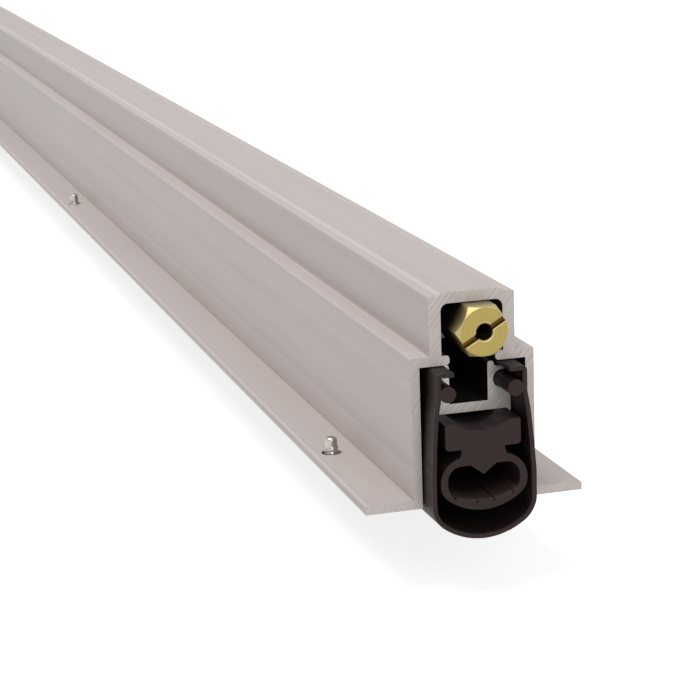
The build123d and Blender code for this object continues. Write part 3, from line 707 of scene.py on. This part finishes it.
def skirt_loop():
    """The skirt's section: one thin wall, turned in at the top, with a bead inside each side."""
    shoulder = fillet_corner(
        (0, SKIRT_TOP), (SKIRT_TOP_HALF, SKIRT_TOP), (SKIRT_TOP_HALF, 0), SKIRT_SHOULDER_RADIUS
    )
    bead_reach = math.sqrt(BEAD_RADIUS**2 - (SKIRT_TOP_HALF - SKIRT_WALL - BEAD_Y) ** 2)
    wall = [
        (SKIRT_TOP_HALF, BEAD_Z + bead_reach),
        (SKIRT_TOP_HALF, BEAD_Z - bead_reach),
        (SKIRT_FLARE_HALF, SKIRT_FLARE_Z),
        ((SKIRT_FLARE_HALF + SKIRT_HALF) / 2 + 0.12, (SKIRT_FLARE_Z + SKIRT_STRAIGHT_Z) / 2),
        (SKIRT_HALF, SKIRT_STRAIGHT_Z),
        (SKIRT_HALF, SKIRT_CORNER_Z),
    ]
    low = corner_to_bottom(SKIRT_HALF, SKIRT_CORNER_RADIUS, SKIRT_CORNER_Z, SKIRT_BOTTOM, 14, 10)
    outer = [(SKIRT_TAB_GAP / 2, SKIRT_TOP)] + shoulder + wall + low
    inner_wall = inward(wall + low, SKIRT_WALL)
    inner_half = SKIRT_TOP_HALF - SKIRT_WALL
    start = math.atan2(bead_reach, inner_half - BEAD_Y)
    bead = []
    for angle in between(start, 2 * math.pi - start, 18)[1:-1]:
        bead.append((BEAD_Y + BEAD_RADIUS * math.cos(angle), BEAD_Z + BEAD_RADIUS * math.sin(angle)))
    inner = [
        (SKIRT_TAB_GAP / 2, SKIRT_TOP - SKIRT_WALL),
        (inner_half, SKIRT_TOP - SKIRT_WALL),
        (inner_half, BEAD_Z + bead_reach),
        *bead,
        (inner_half, BEAD_Z - bead_reach),
        *inner_wall[2:],
    ]
    right_down = outer + mirrored(outer)[1:]
    inside_back = list(reversed(inner + mirrored(inner)[1:]))
    return right_down + inside_back


extruded_rubber("skirt_rubber", [skirt_loop()], "outer_skirt")


# Rubber bulb


def bulb_loops():
    """The bulb's section: a block with a valley, a neck, and a hollow with a wedge above it."""
    middle = (0, BLOCK_TOP - VALLEY_DEPTH)
    outer = [middle] + tangent_arc(middle, (1, 0), (VALLEY_HALF, BLOCK_TOP), 9)
    outer.append((BLOCK_HALF, BLOCK_TOP))
    outer += fillet_corner(
        (BLOCK_HALF, BLOCK_TOP), (BLOCK_HALF, BLOCK_UNDER), (NECK_HALF, BLOCK_UNDER), BLOCK_RADIUS
    )
    outer += fillet_corner(
        (BLOCK_HALF, BLOCK_UNDER), (NECK_HALF, BLOCK_UNDER), (NECK_HALF, BULB_TOP), 0.3, 3
    )
    shoulder = tangent_arc((BULB_HALF, BULB_SIDE[1]), (0, 1), (BULB_TOP_HALF, BULB_TOP), 14)
    outer += list(reversed(shoulder[:-1]))
    outer += [(BULB_HALF, BULB_SIDE[1]), (BULB_HALF, BULB_SIDE[0])]
    outer += corner_to_bottom(BULB_HALF, BULB_CORNER_RADIUS, BULB_SIDE[0], BULB_BOTTOM, 10, 10)
    outer_loop = outer + mirrored(outer)[1:-1]

    roof = tangent_arc((HOLLOW_HALF, HOLLOW_SIDE[1]), (0, 1), (HOLLOW_TOP_HALF, HOLLOW_TOP), 10)
    inner = [(0, HOLLOW_TOP - WEDGE_DEPTH), (WEDGE_HALF, HOLLOW_TOP)]
    inner += list(reversed(roof))
    inner += [(HOLLOW_HALF, HOLLOW_SIDE[1]), (HOLLOW_HALF, HOLLOW_SIDE[0])]
    inner += corner_to_bottom(HOLLOW_HALF, HOLLOW_CORNER_RADIUS, HOLLOW_SIDE[0], HOLLOW_BOTTOM, 10, 26)
    inner_loop = inner + mirrored(inner)[1:-1]
    return [outer_loop, notched(inner_loop)]


def notched(loop):
    """The hollow's loop with small grooves cut into its floor."""
    cut = []
    for i, (y, z) in enumerate(loop):
        after_y, after_z = loop[(i + 1) % len(loop)]
        cut.append((y, z))
        if min(z, after_z) > BULB_SIDE[0] - 1.0:
            continue
        for notch in NOTCHES:
            if min(y, after_y) < notch <= max(y, after_y):
                share = (notch - y) / (after_y - y)
                floor = z + (after_z - z) * share
                step = math.copysign(NOTCH_WIDTH, after_y - y)
                slope = (after_z - z) / (after_y - y)
                for along, deep in NOTCH_SHAPE:
                    along *= step
                    cut.append((notch + along, floor + along * slope - deep * NOTCH_DEPTH))
    return [point for i, point in enumerate(cut) if point != cut[i - 1]]


extruded_rubber("bulb_rubber", bulb_loops(), "bulb_seal")


# Screws


def screw(bm, place):
    """One flat-headed screw with a cross recess, its thread running out below a blunt point."""
    profile = [(HEAD_BOTTOM, HEAD_RADIUS, 0.0), (NECK_START, NECK_RADIUS, 0.0)]
    for z in between(NECK_START + 0.05, THREAD_END, 48):
        left = 1 - max(z, 0.0) / THREAD_END
        thread = SCREW_THREAD_DEPTH * min(1.0, 2.2 * left)
        profile.append((z, POINT_RADIUS + SCREW_FLARE * left**1.6, thread))
    inner = POINT_RADIUS - POINT_ROUNDING
    for angle in between(0, math.pi / 2, 6):
        height = TIP_Z - POINT_ROUNDING * (1 - math.sin(angle))
        profile.append((height, inner + POINT_ROUNDING * math.cos(angle), 0.0))
    rings = threaded(bm, profile, SCREW_PITCH, SCREW_SEGMENTS, place)
    tip = bm.verts.new(place @ Vector((0, 0, TIP_Z)))
    for i in range(SCREW_SEGMENTS):
        bm.faces.new((rings[-1][i], rings[-1][(i + 1) % SCREW_SEGMENTS], tip))
    cross = []
    for quarter in range(4):
        turn = Matrix.Rotation(quarter * math.pi / 2, 4, "Z")
        for x, y in ((RECESS_REACH, -RECESS_HALF_WIDTH), (RECESS_REACH, RECESS_HALF_WIDTH),
                     (RECESS_HALF_WIDTH, RECESS_HALF_WIDTH)):
            cross.append(turn @ Vector((x, y, HEAD_BOTTOM)))
    mouth = [bm.verts.new(place @ point) for point in cross]
    taper = Matrix.Diagonal((RECESS_TAPER, RECESS_TAPER, 1.0, 1.0))
    deeper = Matrix.Translation((0, 0, RECESS_DEPTH))
    bottom = [bm.verts.new(place @ deeper @ taper @ point) for point in cross]
    join_rings(bm, mouth, bottom)
    bm.faces.new(bottom)
    fill_rim(bm, [rings[0], mouth])


for side, sign in (("left", -1), ("right", 1)):
    screws = bmesh.new()
    for x, turn in zip(SCREW_ROWS, SCREW_TURNS):
        spin = Matrix.Rotation(math.radians(turn * sign), 4, "Z")
        screw(screws, Matrix.Translation((x, sign * SCREW_OFFSET, 0)) @ spin)
    piece(f"screws_{side}", screws, SCREW_STEEL, "housing", f"door_screws_{side}")


# Adjuster nut


def along_bar(x):
    """Turns a shaft's own Z into the bar's X, on the rod's axis."""
    return Matrix.Translation((x, AXIS_Y, AXIS_Z)) @ Matrix(
        ((0, 0, 1, 0), (0, 1, 0, 0), (-1, 0, 0, 0), (0, 0, 0, 1))
    )


def nut():
    """A hexagon with turned ends and a tapped hole, and a slot sawn across its front."""
    apothem = NUT_FLATS / 2
    slope = NUT_CHAMFER / (apothem / math.cos(math.radians(30)) - NUT_FACE_RADIUS)
    length = NUT_FRONT - NUT_BACK
    hole = NUT_HOLE_RADIUS + NUT_THREAD_DEPTH
    place = along_bar(NUT_BACK)
    bm = bmesh.new()
    rows = [[] for _ in range(7)]
    for i in range(NUT_SEGMENTS):
        angle = 2 * math.pi * i / NUT_SEGMENTS
        from_flat = (angle + math.pi / 6) % (math.pi / 3) - math.pi / 6
        radius = apothem / math.cos(from_flat)
        ramp = (radius - NUT_FACE_RADIUS) * slope
        across = Vector((math.cos(angle), math.sin(angle), 0))
        outline = (
            (hole, 0),
            (NUT_FACE_RADIUS, 0),
            (radius, ramp),
            (radius, length - ramp),
            (NUT_FACE_RADIUS, length),
            (hole + NUT_RIM, length),
            (hole, length - NUT_RIM),
        )
        for row, (out, height) in zip(rows, outline):
            row.append(bm.verts.new(place @ (across * out + Vector((0, 0, height)))))
    for first, second in zip(rows, rows[1:]):
        join_rings(bm, first, second)
    steps = between(0.12, length - NUT_RIM - 0.06, 150)
    profile = [(z, NUT_HOLE_RADIUS, NUT_THREAD_DEPTH) for z in steps]
    wall = threaded(bm, profile, NUT_THREAD_PITCH, NUT_SEGMENTS, place)
    join_rings(bm, rows[0], wall[0])
    join_rings(bm, rows[-1], wall[-1])
    bmesh.ops.recalc_face_normals(bm, faces=bm.faces)
    return bm


def saw_slot(bm):
    """Cuts the slot, and rounds the edges outside the tapped hole."""
    body = bpy.data.meshes.new("nut_body")
    bm.to_mesh(body)
    bm.free()
    whole = bpy.data.objects.new("nut_body", body)
    blade_mesh = bpy.data.meshes.new("nut_blade")
    blade_shape = bmesh.new()
    size = (2 * NUT_SLOT_DEPTH, 3 * NUT_FLATS, NUT_SLOT_WIDTH)
    bmesh.ops.create_cube(blade_shape, size=1.0, matrix=Matrix.Diagonal((*size, 1.0)))
    blade_shape.to_mesh(blade_mesh)
    blade_shape.free()
    blade = bpy.data.objects.new("nut_blade", blade_mesh)
    blade.matrix_world = Matrix.Translation((NUT_FRONT, AXIS_Y, AXIS_Z)) @ Matrix.Rotation(
        math.radians(NUT_SLOT_ANGLE), 4, "X"
    )
    scene.collection.objects.link(whole)
    scene.collection.objects.link(blade)
    cut = whole.modifiers.new("slot", "BOOLEAN")
    cut.operation = "DIFFERENCE"
    cut.object = blade
    cut.solver = "EXACT"
    bpy.context.view_layer.update()
    depsgraph = bpy.context.evaluated_depsgraph_get()
    shaped = bmesh.new()
    shaped.from_mesh(whole.evaluated_get(depsgraph).to_mesh())
    bpy.data.objects.remove(whole)
    bpy.data.objects.remove(blade)
    bmesh.ops.remove_doubles(shaped, verts=shaped.verts, dist=0.002)
    sharp = []
    for edge in shaped.edges:
        if len(edge.link_faces) != 2 or edge.calc_face_angle() < math.radians(NUT_SHARP_ANGLE):
            continue
        out = [math.hypot(v.co.y - AXIS_Y, v.co.z - AXIS_Z) for v in edge.verts]
        if min(out) > NUT_HOLE_RADIUS + NUT_THREAD_DEPTH + 1.5 * NUT_RIM:
            sharp.append(edge)
    bmesh.ops.bevel(shaped, geom=sharp, offset=NUT_EDGE, segments=2, affect="EDGES", clamp_overlap=True)
    return shaped


piece("hexagon_nut", saw_slot(nut()), BRASS, "plunger", "adjuster_nut", smooth_angle=NUT_SHARP_ANGLE)


# Plunger rod, its front end threaded

rod = bmesh.new()
rod_length = ROD_FRONT - ROD_REAR
rod_thread_start = ROD_SHOULDER - ROD_REAR
rod_profile = [(0.0, ROD_RADIUS - ROD_CHAMFER, 0.0), (ROD_CHAMFER, ROD_RADIUS, 0.0)]
rod_profile += [(z, ROD_RADIUS, 0.0) for z in between(1.0, rod_thread_start - 0.2, 12)]
rod_profile += [(rod_thread_start, ROD_RADIUS - 0.2, 0.0)]
for z in between(rod_thread_start + 0.02, rod_length - 0.3, 130):
    rod_profile.append((z, ROD_THREAD_CORE, NUT_THREAD_DEPTH))
rod_profile += [(rod_length, 1.1, 0.0)]
rod_rings = threaded(rod, rod_profile, NUT_THREAD_PITCH, 36, along_bar(ROD_REAR))
rod.faces.new(rod_rings[0])
rod.faces.new(rod_rings[-1])
piece("rod_steel", rod, ROD_STEEL, "plunger", "plunger_rod")


# Return springs, closed at both ends; in the door they shorten as the plunger is pressed


def spring(start):
    """A coil's wire, its turns closer together towards both ends."""
    bm = bmesh.new()
    steps = SPRING_STEPS * SPRING_TURNS
    travel = SPRING_LENGTH - 2 * SPRING_WIRE_RADIUS
    along = Vector((1, 0, 0))
    rings = []
    for i in range(steps + 1):
        share = i / steps
        eased = share - SPRING_CLOSING * math.sin(2 * math.pi * share)
        angle = 2 * math.pi * SPRING_TURNS * share
        outward = Vector((0, math.cos(angle), math.sin(angle)))
        middle = Vector((start + SPRING_WIRE_RADIUS + travel * eased, AXIS_Y, AXIS_Z))
        middle += outward * SPRING_RADIUS
        ring = []
        for k in range(WIRE_SIDES):
            turn = 2 * math.pi * k / WIRE_SIDES
            offset = outward * math.cos(turn) + along * math.sin(turn)
            ring.append(bm.verts.new(middle + offset * SPRING_WIRE_RADIUS))
        if rings:
            join_rings(bm, rings[-1], ring)
        rings.append(ring)
    bm.faces.new(rings[0])
    bm.faces.new(rings[-1])
    return bm


for station, start in SPRING_STARTS.items():
    coil = piece(f"coil_{station}", spring(start), SPRING_STEEL, "housing", f"return_spring_{station}")
    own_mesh(coil)


# Materials of the CAD pieces that stay

LOOKS = {
    "housing": MILL,
    "dropper_bar": BAR,
    "front_guide": BLOCK_ZINC,
    "middle_guide": BLOCK_ZINC,
    "block_set_screws": ZINC_STEEL,
    "stop_collar": ZINC_STEEL,
    "collar_set_screw": ZINC_STEEL,
}
for station in ("front", "rear"):
    LOOKS[f"anchor_block_{station}"] = BLOCK_ZINC
    LOOKS[f"slider_block_{station}"] = BLOCK_ZINC
    LOOKS[f"slider_set_screw_{station}"] = ZINC_STEEL
    LOOKS[f"drop_bracket_{station}"] = ZINC_STEEL
    LOOKS[f"bracket_rivets_{station}"] = ZINC_STEEL
    for arm_piece in ("long_arm", "short_arm", "anchor_pin", "slider_pin", "centre_pin", "bracket_pin"):
        LOOKS[f"{arm_piece}_{station}"] = ZINC_STEEL
for node_name, look in LOOKS.items():
    node_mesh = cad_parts[node_name].data
    node_mesh.materials.clear()
    node_mesh.materials.append(look)
    node_mesh.shade_smooth()
    node_mesh.set_sharp_from_angle(angle=math.radians(SHARP_ANGLE))


# Floor, light and camera


def seen_directly(tree):
    """1 for what the camera sees, straight or through a reflection or glass."""
    rays = tree.nodes.new("ShaderNodeLightPath")
    total = rays.outputs["Is Camera Ray"]
    for name in ("Is Glossy Ray", "Is Transmission Ray"):
        node = tree.nodes.new("ShaderNodeMath")
        node.operation = "MAXIMUM"
        tree.links.new(total, node.inputs[0])
        tree.links.new(rays.outputs[name], node.inputs[1])
        total = node.outputs[0]
    return total


FLOOR_HALF = 6000.0
FLOOR_COLOUR = (0.55, 0.55, 0.55, 1.0)
FLOOR_GLOW = 0.78
AMBIENT = 0.3
KEY_LIGHTS = (
    # name, place, aimed at, size, power
    ("softbox_top", (450, -560, 2000), (200, 0, 0), 1300, 32.5),
    ("softbox_front", (2100, 150, 700), (500, 0, 0), 900, 9.5),
)

floor_shape = bmesh.new()
bmesh.ops.create_grid(floor_shape, x_segments=1, y_segments=1, size=FLOOR_HALF * MM)
floor_mesh = bpy.data.meshes.new("floor")
floor_shape.to_mesh(floor_mesh)
floor_shape.free()
floor_mesh.transform(Matrix.Translation((0, 0, FLOOR_Z * MM)))
floor = bpy.data.objects.new("floor", floor_mesh)
scene.collection.objects.link(floor)

floor_look = Graph("floor_white")
floor_look.put(floor_look.shader.inputs["Base Color"], FLOOR_COLOUR)
floor_look.put(floor_look.shader.inputs["Roughness"], 1.0)
floor_look.put(floor_look.shader.inputs["Specular IOR Level"], 0.0)
floor_look.put(floor_look.shader.inputs["Emission Color"], (1.0, 1.0, 1.0, 1.0))
glow = floor_look.maths("MULTIPLY", seen_directly(floor_look.tree), FLOOR_GLOW)
floor_look.put(floor_look.shader.inputs["Emission Strength"], glow)
floor_mesh.materials.append(floor_look.material)

world = bpy.data.worlds.new("studio")
scene.world = world
world.use_nodes = True
tree = world.node_tree
tree.nodes.clear()
background = tree.nodes.new("ShaderNodeBackground")
background.inputs["Color"].default_value = (1.0, 1.0, 1.0, 1.0)
strength = tree.nodes.new("ShaderNodeMapRange")
strength.inputs["To Min"].default_value = AMBIENT
strength.inputs["To Max"].default_value = 1.0
tree.links.new(seen_directly(tree), strength.inputs["Value"])
tree.links.new(strength.outputs[0], background.inputs["Strength"])
world_output = tree.nodes.new("ShaderNodeOutputWorld")
tree.links.new(background.outputs[0], world_output.inputs["Surface"])

for name, place, target, size, power in KEY_LIGHTS:
    lamp = bpy.data.lights.new(name, "AREA")
    lamp.shape = "SQUARE"
    lamp.size = size * MM
    lamp.energy = power
    lamp_object = bpy.data.objects.new(name, lamp)
    scene.collection.objects.link(lamp_object)
    aim = (Vector(target) - Vector(place)).to_track_quat("-Z", "Y").to_matrix().to_4x4()
    lamp_object.matrix_world = Matrix.Translation(Vector(place) * MM) @ aim

camera_data = bpy.data.cameras.new("camera")
camera_data.sensor_fit = "HORIZONTAL"
camera_data.sensor_width = SENSOR_WIDTH
camera_data.lens = FOCAL_PIXELS / PICTURE_PIXELS * SENSOR_WIDTH
camera_data.clip_start = 0.01
camera_data.clip_end = 50.0
camera = bpy.data.objects.new("camera", camera_data)
scene.collection.objects.link(camera)
right, down, ahead = Vector(CAMERA_RIGHT), Vector(CAMERA_DOWN), Vector(CAMERA_AHEAD)
turned_to = Matrix((right, -down, -ahead)).transposed().to_4x4()
camera.matrix_world = Matrix.Translation(Vector(CAMERA_PLACE) * MM) @ turned_to
scene.camera = camera
